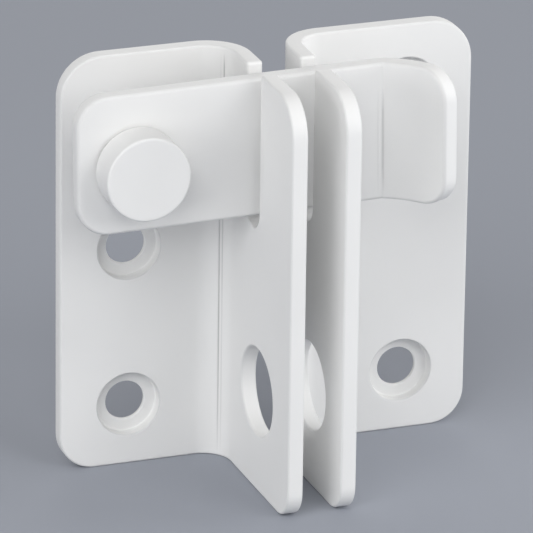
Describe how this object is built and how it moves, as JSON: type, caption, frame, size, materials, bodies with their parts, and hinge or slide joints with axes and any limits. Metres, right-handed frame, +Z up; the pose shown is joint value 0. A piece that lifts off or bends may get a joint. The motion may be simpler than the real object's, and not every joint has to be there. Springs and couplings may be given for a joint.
{
  "type": "pivoting bar latch for a double door",
  "caption": "Door latch with a pivoted bar that drops into a notch in each of two bent brackets, whose flanges have a padlock hole.",
  "frame": {"origin": "midway between the two flanges, in the plane of both plates' backs (the face of the door), at the brackets' lower edges", "axes": "+Z up along the brackets; -Y out of the door, towards the user; +X from the bracket with the pivot to the other bracket"},
  "size_m": [0.0615, 0.029, 0.06],
  "materials": {
    "white_coat": "satin white powder coat",
    "plated_steel": "turned steel, plated",
    "nylon": "natural nylon"
  },
  "bodies": {
    "brackets": {"left_bracket": "white_coat", "right_bracket": "white_coat", "pivot_stud": "plated_steel", "rear_washer": "nylon", "front_washer": "nylon", "pivot_knob": "white_coat"},
    "bar": {"latch_bar": "white_coat"}
  },
  "joints": [
    {"name": "bar_pivot", "type": "hinge", "parent": "brackets", "child": "bar", "pos_m": [-0.02185, -0.0137, 0.0483], "axis": [0, -1, 0], "range_deg": [-3.5, 277]}
  ]
}
